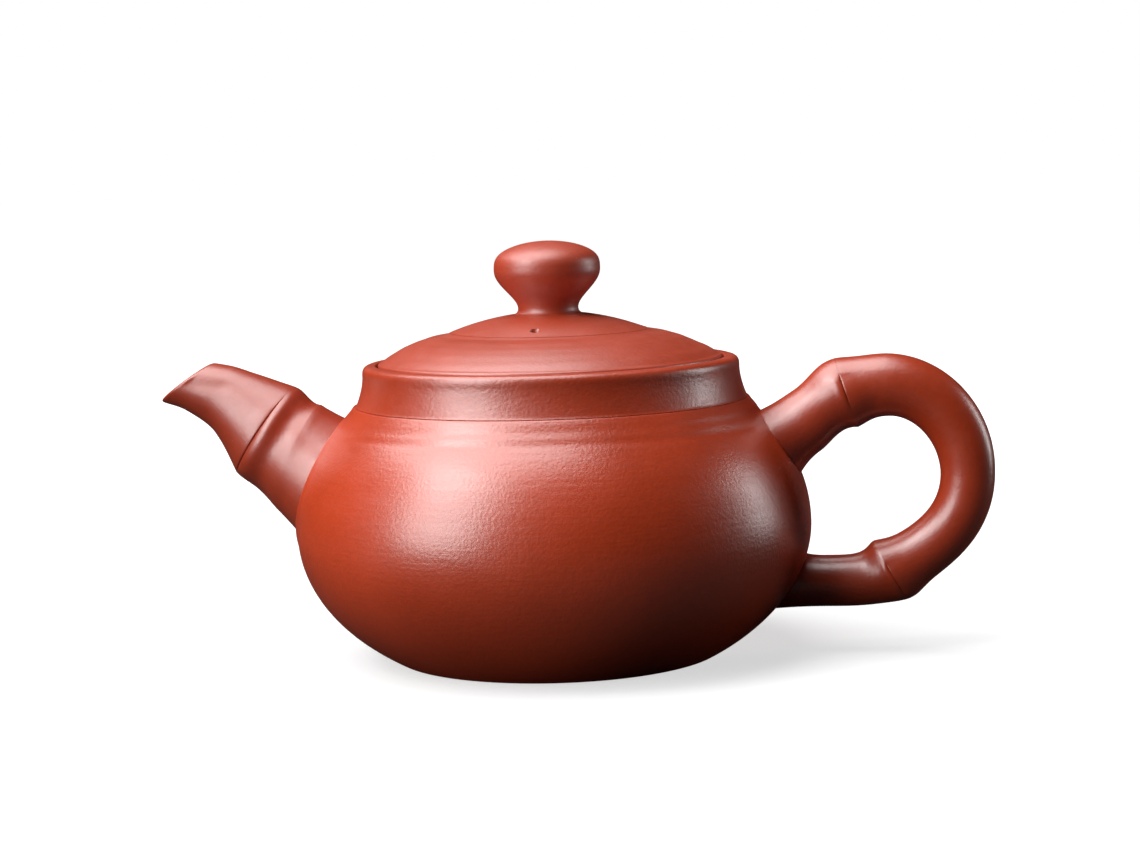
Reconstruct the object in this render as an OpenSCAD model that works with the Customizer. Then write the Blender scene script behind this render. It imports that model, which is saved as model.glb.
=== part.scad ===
// A round Yixing clay teapot with a bamboo-jointed spout and handle, in millimetres.
// +Z is up, the origin is the middle of the flat base, the handle is at +X and the spout at -X.
// Every piece is a length of clay that is formed by itself and luted to its neighbours.

/* [Belly] */
// Largest outside radius of the belly
belly_r = 47.7; // [44:0.1:52]
// Height of the widest ring above the table
belly_z = 24; // [21:0.5:27]
// Radius of the flat base
base_r = 30; // [26:0.5:33]
// Height of the place where the belly's round part ends, above the table
shoulder_z = 43; // [41:0.5:45]
// Thickness of the belly wall
wall = 3; // [2:0.1:4]
// Thickness of the slab that closes the bottom
floor_t = 3.5; // [2.5:0.1:5]
// Width of the wall's foot outside the bottom slab
floor_seam = 2.6; // [2:0.1:4]

/* [Neck] */
// Height of the crease between belly and neck above the table
crease_z = 47.5; // [46.5:0.1:48.5]
// Outside radius of the neck below the rim
neck_r = 34.95; // [34:0.05:38]
// How far the neck's foot flares out
neck_flare = 1.35; // [0.5:0.05:1.5]
// How far the shoulder's upper edge stands out of the neck's foot
shoulder_step = 0.4; // [0.1:0.05:0.8]
// How much wider the straight slope gets from that edge down to the round shoulder
shoulder_run = 3.2; // [2:0.1:4]
// Height of the neck from the crease to the rim
neck_h = 7.5; // [6.5:0.1:9]
// Height over which it flares out
neck_flare_h = 5.5; // [3:0.5:6]
// Width of the rim's flat top
rim_w = 2.65; // [2.2:0.05:3]
// Rounding of the rim's outer edge
rim_round = 1.1; // [0.4:0.1:1.2]
// Width of the ledge that carries the lid
ledge_w = 3.6; // [3:0.1:5]
// Thickness of the ledge
ledge_t = 3; // [2:0.1:4]

/* [Lid] */
// Running play round the lid and round its flange
lid_play = 0.4; // [0.2:0.05:0.6]
// Gap between the lid's underside and the ledge
seat_gap = 0.03; // [0.02:0.01:0.1]
// Thickness of the lid at its edge
lid_edge_t = 2.85; // [2.3:0.05:3.5]
// Rounding of the lid's upper edge
lid_edge_round = 0.5; // [0.2:0.1:0.8]
// Height of the lid's dome above its edge
lid_rise = 7.3; // [5:0.1:9]
// How far the dome's ellipse would run on past the lid's edge
lid_run_out = 1.9; // [1:0.1:4]
// Thickness of the domed part of the lid
lid_t = 2.8; // [2:0.1:3.5]
// Depth of the flange below the ledge's top
flange_h = 7; // [5:0.5:9]
// Wall thickness of the flange
flange_w = 2.5; // [2:0.1:3.5]
// Radius of the raised crown
crown_r = 18.3; // [16:0.1:20]
// Height of the crown in the middle
crown_h = 1.7; // [1:0.1:2.5]
// Height of the step at the crown's edge
crown_edge = 0.15; // [0.1:0.05:0.4]
// Radius of the air hole
vent_r = 0.85; // [0.5:0.05:1.2]
// Distance of the air hole's middle inside the crown's edge
vent_inset = 2.6; // [1.5:0.1:5]
// Direction of the air hole, from +X towards +Y
vent_dir = -91; // [-180:1:180]

/* [Knob] */
// Largest radius of the knob
knob_r = 10.15; // [9:0.05:12]
// Radius of the knob's neck
knob_neck_r = 5.6; // [4.5:0.1:7]
// Radius of the knob's foot on the crown
knob_foot_r = 7; // [6.2:0.1:8]
// Height of the knob above the crown
knob_h = 13.6; // [12:0.1:16]
// Height of the foot's flare
knob_foot_h = 1.2; // [0.8:0.1:2]
// Height of the rounded top above the widest ring
knob_top_h = 4.5; // [3.5:0.1:6]

/* [Spout] */
// Height of the middle of the spout's node
spout_node_z = 42.6; // [41:0.1:45]
// Distance of the node's middle outside the belly's widest ring
spout_node_out = 6.8; // [5:0.1:8]
// Lean of the node's section from the horizontal
spout_node_lean = 54.5; // [50:0.5:60]
// Half height of the spout's section at the node
spout_node_half = 9.6; // [8:0.1:10]
// Half height of the spout's section at the belly
spout_root_half = 10.8; // [10:0.1:12]
// Lean of the spout's section at the belly
spout_root_lean = 66.5; // [62:0.5:72]
// Slope at which the spout meets the belly
spout_root_slope = 41; // [38:1:46]
// Distance from the node back to the place where the spout starts to meet the belly
spout_base_len = 8.2; // [7:0.1:10]
// Height of the middle of the slanted mouth
spout_mouth_z = 52.2; // [50:0.1:56]
// Distance of the mouth's middle outside the belly's widest ring
spout_mouth_out = 21.9; // [17:0.1:23]
// Lean of the mouth's cut from the horizontal
spout_mouth_lean = 35; // [25:0.5:45]
// Half length of the mouth's cut
spout_mouth_half = 6.1; // [5:0.1:7]
// Width of the mouth as a share of the cut's length
spout_mouth_flat = 0.81; // [0.7:0.01:1]
// Width of the rest of the spout as a share of its height
spout_flat = 0.92; // [0.8:0.01:1.05]
// How far the spout's tip arches above a straight line
spout_arch = 1.6; // [0.5:0.1:2.5]
// How much steeper its sections stand there, in degrees
spout_turn = 12; // [4:1:16]
// How much smaller its half height is there
spout_pinch = 1.4; // [0.4:0.1:2]
// Wall of the spout at the belly
spout_wall = 3; // [2:0.1:3.5]
// Wall of the spout at the mouth
lip_wall = 1.4; // [1:0.1:2]
// How far the node's ridge stands out
spout_ridge = 0.5; // [0.2:0.1:1.2]
// Radius of the hole through the belly wall into the spout
spout_hole_r = 6.3; // [5:0.1:7]

/* [Strainer] */
// Outside radius of the ball filter
strainer_r = 9; // [8.5:0.1:10]
// Thickness of its shell
strainer_t = 1.4; // [1:0.1:2]
// Radius of one of its holes
strainer_hole_r = 0.8; // [0.5:0.05:1]

/* [Handle] */
// Distance of the handle's outermost edge outside the belly's widest ring
handle_out = 33.7; // [31:0.1:40]
// Thickness of the handle at its outermost place
handle_t = 9.9; // [8:0.1:12]
// Height of the middle of the outermost place
handle_mid_z = 33; // [28:0.5:35]
// Height of the handle's highest edge
handle_top_z = 54.9; // [52:0.1:58]
// Thickness of the handle at its highest place
handle_top_t = 11.5; // [9:0.1:13]
// Distance of the highest place outside the belly's widest ring
handle_top_out = 14.3; // [13:0.1:17]
// Distance of the upper node outside the belly's widest ring
upper_node_out = 7.1; // [7:0.1:9]
// Height of the upper node
upper_node_z = 47.8; // [46:0.1:49]
// Slope of the handle at the upper node
upper_node_slope = 18.5; // [10:0.5:25]
// Thickness of the handle at the upper node
upper_node_t = 12.6; // [10:0.1:14]
// Thickness of the handle's upper end where it meets the belly
upper_root_t = 12.4; // [11:0.1:14]
// Height at which the upper end meets the belly
upper_root_z = 39.5; // [38:0.1:40.5]
// Slope of the handle there
upper_root_slope = 33.5; // [28:0.5:40]
// Distance from there to the upper end's first free section
upper_root_len = 5; // [4.5:0.1:6]
// Distance of the lower node outside the belly's widest ring
lower_node_out = 14.7; // [13:0.1:17]
// Height of the lower node
lower_node_z = 14.9; // [13:0.1:16]
// Slope of the handle at the lower node
lower_node_slope = 29.5; // [20:0.5:35]
// Thickness of the handle at the lower node
lower_node_t = 11.6; // [10:0.1:14]
// Height of the level lower end
lower_root_z = 13; // [12:0.1:14]
// Thickness of the level lower end
lower_t = 9.5; // [8:0.1:11]
// Distance from the belly to the lower end's first free section
lower_root_len = 5.5; // [5:0.1:7]
// Width of the handle as a share of its thickness
handle_flat = 0.95; // [0.8:0.01:1.1]
// How far the nodes' ridges stand out
handle_ridge = 0.5; // [0.2:0.1:1]

/* [Joints between the pieces of clay] */
// Thickness of the slip between a root and the belly
slip = 0.05; // [0.03:0.01:0.1]
// How far a root flares where it meets the belly
root_flare = 1.05; // [1:0.01:1.1]
// Depth of the groove at a node
groove = 0.3; // [0.2:0.05:0.8]

/* [Hidden] */
clay = "#9a3d28";
$fn = 96;
around = 28; // corners of a section of the spout or the handle
curve_steps = 14; // steps along one stretch of a revolved outline

// Heights and radii that follow from the driving sizes
rim_z = crease_z + neck_h;
neck_foot_r = neck_r + neck_flare;
crease_r = neck_foot_r + shoulder_step;
shoulder_r = crease_r + shoulder_run;
bore_r = neck_r - rim_w;
ledge_r = bore_r - ledge_w;
lid_r = bore_r - lid_play;
lid_edge_z = rim_z - 0.1;
ledge_z = lid_edge_z - lid_edge_t - seat_gap;
lid_under_z = ledge_z + seat_gap;
flange_r = ledge_r - lid_play;
floor_r = base_r - floor_seam;

function lerp(a, b, t) = a + (b - a) * t;
function unit(v) = v / norm(v);
function bezier(p, t) =
    pow(1 - t, 3) * p[0] + 3 * t * pow(1 - t, 2) * p[1] + 3 * t * t * (1 - t) * p[2] + pow(t, 3) * p[3];
function curve(p, n) = [for (i = [0:n]) bezier(p, i / n)];

// A smooth run through a list of vectors of equal length; t goes from 0 to 1 along the whole list.
function through(keys, t) =
    let (n = len(keys) - 1, i = min(floor(t * n), n - 1), u = t * n - i)
    let (a = keys[max(i - 1, 0)], b = keys[i], c = keys[i + 1], d = keys[min(i + 2, n)])
    0.5 * (2 * b + (c - a) * u + (2 * a - 5 * b + 4 * c - d) * u * u + (3 * b - a - 3 * c + d) * u * u * u);

// The belly is two quarter ellipses that share the widest ring, and a straight slope to the crease.
low_b = belly_z / sqrt(1 - pow(base_r / belly_r, 2));
high_b = (shoulder_z - belly_z) / sqrt(1 - pow(shoulder_r / belly_r, 2));
base_angle = -acos(base_r / belly_r);
shoulder_angle = acos(shoulder_r / belly_r);
function half_height(a) = a < 0 ? low_b : high_b;
function belly_out(a) = [belly_r * cos(a), belly_z + half_height(a) * sin(a)];
function belly_in(a) = belly_out(a) - wall * unit([half_height(a) * cos(a), belly_r * sin(a)]);
function belly_at(z) =
    z < shoulder_z
    ? belly_r * sqrt(1 - pow((z - belly_z) / (z < belly_z ? low_b : high_b), 2))
    : lerp(shoulder_r, crease_r, (z - shoulder_z) / (crease_z - shoulder_z));
belly_angles = concat(
    [for (i = [0:curve_steps - 1]) lerp(base_angle, 0, i / curve_steps)],
    [for (i = [0:curve_steps]) lerp(0, shoulder_angle, i / curve_steps)]
);
inner_wall = [for (a = belly_angles) if (belly_in(a).y > floor_t + 0.5) belly_in(a)];
inner_foot = [lookup(floor_t, [for (a = belly_angles) [belly_in(a).y, belly_in(a).x]]), floor_t];
throat = [bore_r, crease_z - wall];

// The lid's dome is the top of an ellipse that would run out a little past the lid's edge.
dome_a = lid_r + lid_run_out;
dome_b = lid_rise / (1 - sqrt(1 - pow(lid_r / dome_a, 2)));
function dome(r) = lid_edge_z + lid_rise - dome_b * (1 - sqrt(1 - pow(r / dome_a, 2)));
function crown(r) = dome(r) + crown_edge + (crown_h - crown_edge) * (1 - pow(r / crown_r, 2));
hollow_r = flange_r - flange_w;
knob_seat_z = crown(knob_foot_r);
vent_out = crown_r - vent_inset;

// A point that slides from p along the direction d until it is the slip's thickness off the belly.
function off_belly(p) = norm([p.x, p.y]) - belly_at(p.z) - slip;
function onto_belly(p, d, far = 16, step = 0) =
    step > 22 ? p + d * far / 2
    : off_belly(p + d * far / 2) > 0
    ? onto_belly(p + d * far / 2, d, far / 2, step + 1)
    : onto_belly(p, d, far / 2, step + 1);

// One section: its middle is c, h its half size along the lean (from +X towards +Z), w along Y.
function section(c, lean, h, w) =
    [for (i = [0:around - 1]) let (a = 360 * i / around)
        [c.x + h * cos(a) * cos(lean), w * sin(a), c.y + h * cos(a) * sin(lean)]];
function centre(ring) = [for (k = [0:2]) [for (p = ring) p[k]] * [for (p = ring) 1] / len(ring)];
function scaled(ring, k) = let (c = centre(ring)) [for (p = ring) c + k * (p - c)];
function landed(ring, d) = [for (p = ring) onto_belly(p, d)];

// A skin over a list of sections with equally many corners, which follow each other clockwise
// round the Y axis. A closed one goes out along the outside and back along the bore.
module skin(rings, closed = false) {
    n = len(rings[0]);
    m = len(rings);
    sides = [
        for (j = [0:m - (closed ? 1 : 2)], i = [0:n - 1])
            let (a = j * n + i, b = j * n + (i + 1) % n, c = ((j + 1) % m) * n)
            each [[a, c + i, c + (i + 1) % n], [a, c + (i + 1) % n, b]]
    ];
    ends = closed ? [] : [[for (i = [0:n - 1]) i], [for (i = [n - 1:-1:0]) (m - 1) * n + i]];
    polyhedron(points = [for (ring = rings) each ring], faces = concat(sides, ends), convexity = 6);
}

// How a ridge swells towards the node at t = 1, and how the groove cuts in at the very end.
function swell(t, height, reach) = height * exp(-pow((1 - t) / reach, 2));
function cut_in(t, reach) = groove * exp(-pow((1 - t) / reach, 2));

// Spout: a section is [distance outside the belly's widest ring, height, lean, half height, half width].
spout_node = [spout_node_out, spout_node_z, spout_node_lean, spout_node_half, spout_node_half * spout_flat];
spout_mouth = [
    spout_mouth_out, spout_mouth_z, spout_mouth_lean,
    spout_mouth_half, spout_mouth_half * spout_mouth_flat
];
// The tip bends most at its waist, and less at its throat, nearer the mouth.
spout_bend = [0, spout_arch, spout_turn, -spout_pinch, -0.6 * spout_pinch];
spout_waist = lerp(spout_node, spout_mouth, 0.45) + spout_bend;
spout_throat = lerp(spout_node, spout_mouth, 0.76) + 0.65 * spout_bend;
spout_root = [
    spout_node_out - spout_base_len * cos(spout_root_slope),
    spout_node_z - spout_base_len * sin(spout_root_slope),
    spout_root_lean, spout_root_half, spout_root_half * spout_flat
];
spout_inward = [cos(spout_root_slope), 0, -sin(spout_root_slope)];
spout_keys = [spout_node, spout_waist, spout_throat, spout_mouth];
spout_rings = 16;
base_rings = 12;
function grown(key, by) = key + [0, 0, 0, by, by];
function spout_section(key) = section([-belly_r - key[0], key[1]], key[2], key[3], key[4]);
function base_key(t) = grown(lerp(spout_root, spout_node, t), swell(t, spout_ridge, 0.3) - cut_in(t, 0.08));
function tip_key(t) = grown(through(spout_keys, t), -cut_in(1 - t, 0.05));
function base_bore(t) = grown(lerp(spout_root, spout_node, t), -spout_wall);
function tip_bore(t) = grown(through(spout_keys, t), -lerp(spout_wall, lip_wall, t));
function spout_landed(key) = landed(scaled(spout_section(key), root_flare), spout_inward);
spout_hole = onto_belly([-belly_r - spout_root[0], 0, spout_root[1]], spout_inward);

// Handle: each stretch of its middle line is a Bezier curve in the X-Z plane.
function direction(slope) = [cos(slope), sin(slope)];
upper_root = [belly_at(upper_root_z), upper_root_z];
upper_node = [belly_r + upper_node_out, upper_node_z];
upper_start = upper_root + upper_root_len * direction(upper_root_slope);
upper_run = norm(upper_node - upper_start) / 3;
upper_path = [
    upper_start, upper_start + upper_run * direction(upper_root_slope),
    upper_node - upper_run * direction(upper_node_slope), upper_node
];
handle_top = [belly_r + handle_top_out, handle_top_z - handle_top_t / 2];
handle_far = [belly_r + handle_out - handle_t / 2, handle_mid_z];
bow_rise = handle_top.x - upper_node.x;
rise_path = [
    upper_node, upper_node + bow_rise / 3 * direction(upper_node_slope),
    handle_top - [bow_rise / 3, 0], handle_top
];
quarter = 0.54; // share of a quarter ellipse's radius that its Bezier handles take
shoulder_path = [
    handle_top, handle_top + [quarter * (handle_far.x - handle_top.x), 0],
    handle_far + [0, quarter * (handle_top.y - handle_far.y)], handle_far
];
lower_node = [belly_r + lower_node_out, lower_node_z];
fall_path = [
    handle_far, handle_far - [0, 0.56 * (handle_far.y - lower_node.y)],
    lower_node + 0.5 * (handle_far.x - lower_node.x) * direction(lower_node_slope), lower_node
];
lower_start = [belly_at(lower_root_z) + lower_root_len, lower_root_z];
lower_run = norm(lower_node - lower_start) / 3;
lower_path = [
    lower_start, lower_start + [lower_run, 0],
    lower_node - lower_run * direction(lower_node_slope), lower_node
];
function slope_of(p, t) =
    let (v = pow(1 - t, 2) * (p[1] - p[0]) + 2 * t * (1 - t) * (p[2] - p[1]) + t * t * (p[3] - p[2]))
    atan2(v.y, v.x);
function handle_section(p, t, h) = section(bezier(p, t), slope_of(p, t) + 90, h, h * handle_flat);
function node_edge(t, reach) = swell(t, handle_ridge, reach) - cut_in(t, reach / 4);
function backwards(list) = [for (i = [len(list) - 1:-1:0]) list[i]];
function root_rings(ring, d) = [for (k = [0.05, 0.35, 0.7, 1]) landed(scaled(ring, k * root_flare), d)];

module revolved(outline) {
    rotate_extrude(convexity = 6) polygon(outline);
}

module base_disc() {
    color(clay) cylinder(r = floor_r, h = floor_t);
}

module belly_wall() {
    outline = concat(
        [for (a = belly_angles) belly_out(a)],
        [[crease_r, crease_z], [bore_r, crease_z], throat],
        backwards(inner_wall),
        [inner_foot, [floor_r, floor_t], [floor_r, 0]]
    );
    color(clay) difference() {
        revolved(outline);
        translate(spout_hole - 2 * wall * spout_inward) along(spout_inward)
            cylinder(r = spout_hole_r, h = 5 * wall);
    }
}

// Turns what stands on +Z so that it runs along d.
module along(d) {
    rotate([0, acos(d.z / norm(d)), atan2(d.y, d.x)]) children();
}

module neck_collar() {
    side = [
        for (i = [0:curve_steps]) let (u = 1 - i / curve_steps)
            [neck_r + (neck_foot_r - neck_r) * pow(u, 1.7), crease_z + neck_flare_h * (1 - u)]
    ];
    edge = [
        for (a = [0:18:90])
            [neck_r - rim_round * (1 - cos(a)), rim_z - rim_round * (1 - sin(a))]
    ];
    color(clay) revolved(concat(side, edge, [[bore_r, rim_z], [bore_r, crease_z]]));
}

module mouth_ring() {
    color(clay) difference() {
        translate([0, 0, ledge_z - ledge_t]) cylinder(r = bore_r, h = ledge_t);
        translate([0, 0, ledge_z - 2 * ledge_t]) cylinder(r = ledge_r, h = 3 * ledge_t);
    }
}

// The band of room inside the belly behind the spout, the slip's thickness clear of the wall.
module cavity(middle_z, reach) {
    band = [for (p = inner_wall) if (abs(p.y - middle_z) < reach) p - [slip, 0]];
    revolved(concat([[0, band[0].y]], band, [[0, band[len(band) - 1].y]]));
}

// One hole through the filter's shell, which keeps clear of the others inside the shell.
module strainer_hole() {
    translate([0, 0, strainer_r - 2 * strainer_t]) cylinder(r = strainer_hole_r, h = 3 * strainer_t);
}

module strainer_dome() {
    middle = spout_hole + wall * spout_inward;
    color(clay) difference() {
        intersection() {
            cavity(middle.z, strainer_r + wall);
            difference() {
                translate(middle) sphere(r = strainer_r);
                translate(middle) sphere(r = strainer_r - strainer_t);
            }
        }
        translate(middle) along(spout_inward) {
            strainer_hole();
            for (row = [1, 2], i = [0:6 * row - 1]) rotate([0, 24 * row, 60 * i / row]) strainer_hole();
        }
    }
}

module spout_base() {
    outer = [for (i = [0:base_rings]) spout_section(base_key(i / base_rings))];
    inner = [for (i = [base_rings:-1:0]) spout_section(base_bore(i / base_rings))];
    foot = [for (k = [1, 0.5]) spout_landed(grown(spout_root, -k * spout_wall))];
    color(clay) skin(concat([spout_landed(spout_root)], outer, inner, foot), closed = true);
}

module spout_tip() {
    outer = [for (i = [0:spout_rings]) spout_section(tip_key(i / spout_rings))];
    inner = [for (i = [spout_rings:-1:0]) spout_section(tip_bore(i / spout_rings))];
    color(clay) skin(concat(outer, inner), closed = true);
}

module handle_upper() {
    steps = 12;
    upper_t = [[upper_root_t], [handle_top_t], [upper_node_t]];
    stub = [
        for (i = [0:steps]) let (t = i / steps)
            handle_section(upper_path, t, through(upper_t, t)[0] / 2 + node_edge(t, 0.35))
    ];
    inward = [-cos(upper_root_slope), 0, -sin(upper_root_slope)];
    color(clay) skin(backwards(concat(root_rings(stub[0], inward), stub)));
}

module handle_bow() {
    rise = [
        for (i = [0:7]) let (t = i / 8)
            handle_section(rise_path, t, lerp(upper_node_t, handle_top_t, t) / 2 + node_edge(1 - t, 0.45))
    ];
    shoulder = [
        for (i = [0:15]) let (t = i / 16)
            handle_section(shoulder_path, t, lerp(handle_top_t, handle_t, t) / 2)
    ];
    fall = [
        for (i = [0:18]) let (t = i / 18)
            handle_section(fall_path, t, lerp(handle_t, lower_node_t, pow(t, 4)) / 2 + node_edge(t, 0.15))
    ];
    color(clay) skin(backwards(concat(rise, shoulder, fall)));
}

module handle_lower() {
    steps = 12;
    stub = [
        for (i = [0:steps]) let (t = i / steps)
            handle_section(lower_path, t, lerp(lower_t, lower_node_t, pow(t, 3)) / 2 + node_edge(t, 0.2))
    ];
    color(clay) skin(backwards(concat(root_rings(stub[0], [-1, 0, 0]), stub)));
}

crown_steps = [for (i = [0:curve_steps]) crown_r * i / curve_steps];

// The air hole through whatever lid piece it is given.
module vented() {
    difference() {
        children();
        rotate([0, 0, vent_dir]) translate([vent_out, 0, ledge_z]) cylinder(r = vent_r, h = 3 * lid_rise);
    }
}

module lid_plate() {
    edge = lid_r - lid_edge_round;
    brim = [for (i = [1:curve_steps]) lerp(crown_r, edge, i / curve_steps)];
    hollow = [for (i = [0:curve_steps]) (hollow_r - lid_t / 2) * (1 - i / curve_steps)];
    color(clay) vented() revolved(concat(
        [for (r = crown_steps) [r, dome(r)]],
        [for (r = brim) [r, dome(r)]],
        [[lid_r, dome(edge) - lid_edge_round], [lid_r, lid_under_z], [hollow_r, lid_under_z]],
        [for (r = hollow) [r, dome(r) - lid_t]]
    ));
}

module lid_crown() {
    color(clay) vented() revolved(concat(
        [for (r = crown_steps) [r, dome(r)]],
        [for (i = [curve_steps:-1:0]) let (r = crown_steps[i]) if (r > knob_foot_r) [r, crown(r)]],
        [[knob_foot_r, knob_seat_z], [0, knob_seat_z]]
    ));
}

module lid_flange() {
    color(clay) translate([0, 0, ledge_z - flange_h]) difference() {
        cylinder(r = flange_r, h = flange_h + seat_gap);
        translate([0, 0, -flange_h]) cylinder(r = hollow_r, h = 3 * flange_h);
    }
}

module knob() {
    neck_z = knob_seat_z + knob_foot_h;
    top_z = knob_seat_z + knob_h;
    wide_z = top_z - knob_top_h;
    rise = wide_z - neck_z;
    foot = [
        [knob_foot_r, knob_seat_z], [lerp(knob_foot_r, knob_neck_r, 0.6), knob_seat_z],
        [knob_neck_r, lerp(knob_seat_z, neck_z, 0.4)], [knob_neck_r, neck_z]
    ];
    cup = [
        [knob_neck_r, neck_z], [knob_neck_r, neck_z + 0.27 * rise],
        [knob_r, wide_z - 0.45 * rise], [knob_r, wide_z]
    ];
    top = [
        for (i = [1:curve_steps]) let (a = 90 * i / curve_steps)
            [i < curve_steps ? knob_r * cos(a) : 0, wide_z + knob_top_h * sin(a)]
    ];
    color(clay) revolved(concat(
        [[0, knob_seat_z]], curve(foot, 6), [for (i = [1:curve_steps]) bezier(cup, i / curve_steps)], top
    ));
}

base_disc();
belly_wall();
neck_collar();
mouth_ring();
strainer_dome();
spout_base();
spout_tip();
handle_upper();
handle_bow();
handle_lower();
lid_plate();
lid_crown();
lid_flange();
knob();
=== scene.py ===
"""A round Yixing clay teapot with a bamboo-jointed spout and handle, dressed round its CAD frame.

Shapes are worked out in millimetres and become metres when a mesh is made. +Z is up, the spout
is at -X and the handle at +X. Angles are in radians unless a name ends in _deg.
"""

import math

import bmesh
import bpy
import numpy as np
from mathutils import Matrix, Vector


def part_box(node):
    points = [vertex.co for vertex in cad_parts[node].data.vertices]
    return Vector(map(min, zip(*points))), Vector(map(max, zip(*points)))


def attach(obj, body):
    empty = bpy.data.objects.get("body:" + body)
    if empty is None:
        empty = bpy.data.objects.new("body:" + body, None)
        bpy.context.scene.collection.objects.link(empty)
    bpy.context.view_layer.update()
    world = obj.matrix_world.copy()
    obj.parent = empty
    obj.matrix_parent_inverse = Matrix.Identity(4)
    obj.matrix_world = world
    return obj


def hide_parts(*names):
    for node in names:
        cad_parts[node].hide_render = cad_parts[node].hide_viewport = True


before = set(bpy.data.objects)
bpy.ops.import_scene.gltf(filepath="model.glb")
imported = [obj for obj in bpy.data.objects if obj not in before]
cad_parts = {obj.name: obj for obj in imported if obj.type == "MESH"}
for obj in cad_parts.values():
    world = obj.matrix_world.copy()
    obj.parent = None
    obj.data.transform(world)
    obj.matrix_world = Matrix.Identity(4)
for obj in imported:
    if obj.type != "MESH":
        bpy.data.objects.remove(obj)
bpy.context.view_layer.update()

MM = 0.001


def lowest(node):
    """Lowest corner of a CAD node, in millimetres."""
    return np.array(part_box(node)[0]) / MM


def highest(node):
    """Highest corner of a CAD node, in millimetres."""
    return np.array(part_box(node)[1]) / MM


# ---- Sizes in millimetres, most of them from the frame ----
BELLY_R = highest("belly_wall")[0]
BELLY_Z = 24.0  # height of the belly's widest ring
BASE_R = 30.0
FLOOR_R = highest("base_disc")[0]
FLOOR_T = highest("base_disc")[2]
WALL = 3.0
CREASE_Z = highest("belly_wall")[2]
NECK_FOOT_R = highest("neck_collar")[0]
CREASE_R = NECK_FOOT_R + 0.4
SHOULDER_R = CREASE_R + 3.2  # where the round part ends and a short slope starts
SHOULDER_Z = 43.0
NECK_R = 34.95
NECK_FLARE_H = 5.5
NECK_RIM_ROUNDING = 1.5
RIM_Z = highest("neck_collar")[2]
BORE_R = highest("mouth_ring")[0]
LEDGE_Z = highest("mouth_ring")[2]
LEDGE_T = LEDGE_Z - lowest("mouth_ring")[2]
LEDGE_R = BORE_R - 3.6

LID_R = highest("lid_plate")[0]
LID_UNDER_Z = lowest("lid_plate")[2]
LID_EDGE_Z = RIM_Z - 0.1
LID_RISE = highest("lid_plate")[2] - LID_EDGE_Z
LID_RUN_OUT = 1.9  # from the lid's edge to the end of the ellipse that its dome follows
LID_T = 2.8
FLANGE_R = highest("lid_flange")[0]
FLANGE_W = 2.5
FLANGE_LOW_Z = lowest("lid_flange")[2]
HOLLOW_R = FLANGE_R - FLANGE_W
CROWN_R = highest("lid_crown")[0]
CROWN_H = 1.7
VENT_R = 0.85
VENT_OUT = 15.7  # from the middle of the lid
VENT_DIR_DEG = -91.0

KNOB_R = highest("knob")[0]
KNOB_SEAT_Z = lowest("knob")[2]
KNOB_TOP_Z = highest("knob")[2]
KNOB_NECK_R = 5.6
KNOB_FOOT_R = 7.0
KNOB_FOOT_H = 1.2
KNOB_TOP_H = 4.5

SPOUT_WALL = 3.0
LIP_WALL = 1.4
SPOUT_HOLE_R = 6.3
STRAINER_R = 9.0
STRAINER_T = 1.4
STRAINER_HOLE_R = 0.8
SLIP = 0.05  # thickness of the slip in a joint

UNEVEN_TURN = math.radians(8.0)  # the direction in which the neck and the lid are off centre
AROUND = 360  # faces round a revolved piece
TUBE_AROUND = 112  # faces round the spout or the handle
SHARP_EDGE_DEG = 48.0


# ---- Small helpers for shapes ----
def lerp(a, b, t):
    """From a to b, as t goes from 0 to 1."""
    return a + (b - a) * t


def hump(distance, width):
    """A smooth bump that is 1 in the middle."""
    return np.exp(-((distance / width) ** 2))


def bumps(distance, *rows):
    """The sum of some humps. A row is (height, place, width), and a dent has a negative height."""
    return sum(height * hump(distance - place, width) for height, place, width in rows)


def ease(low, high, x):
    """0 below low, 1 above high, and smooth between."""
    t = np.clip((x - low) / (high - low), 0, 1)
    return t * t * (3 - 2 * t)


def turn_between(a, b):
    """The smallest turn from angle b to angle a."""
    return (a - b + math.pi) % (2 * math.pi) - math.pi


def bezier(corners, count=160):
    """Points along a cubic Bezier curve."""
    p = np.array(corners, float)
    t = np.linspace(0, 1, count)[:, None]
    ends = (1 - t) ** 3 * p[0] + t**3 * p[3]
    return ends + 3 * t * (1 - t) ** 2 * p[1] + 3 * t**2 * (1 - t) * p[2]


def through(keys, t):
    """A smooth run through keys of equal length; t goes from 0 to 1 along the whole list."""
    spans = len(keys) - 1
    i = min(int(t * spans), spans - 1)
    u = t * spans - i
    a, b, c, d = keys[max(i - 1, 0)], keys[i], keys[i + 1], keys[min(i + 2, spans)]
    return 0.5 * (
        2 * b + (c - a) * u + (2 * a - 5 * b + 4 * c - d) * u**2 + (3 * b - a - 3 * c + d) * u**3
    )


def softened(corners, step=0.7, arc_steps=7):
    """An outline through corners of (radius, height, rounding), with points on straight runs."""
    points = []
    for i, (r, z, size) in enumerate(corners):
        here = np.array([r, z])
        if size == 0 or i in (0, len(corners) - 1):
            points.append(here)
            continue
        before = np.array(corners[i - 1][:2]) - here
        after = np.array(corners[i + 1][:2]) - here
        start = here + size * before / np.linalg.norm(before)
        end = here + size * after / np.linalg.norm(after)
        for t in np.linspace(0, 1, arc_steps):
            points.append((1 - t) ** 2 * start + 2 * t * (1 - t) * here + t**2 * end)
    filled = [points[0]]
    for point in points[1:]:
        pieces = max(1, math.ceil(np.linalg.norm(point - filled[-1]) / step))
        last = filled[-1]
        filled += [lerp(last, point, k / pieces) for k in range(1, pieces + 1)]
    return np.array(filled)


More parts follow.
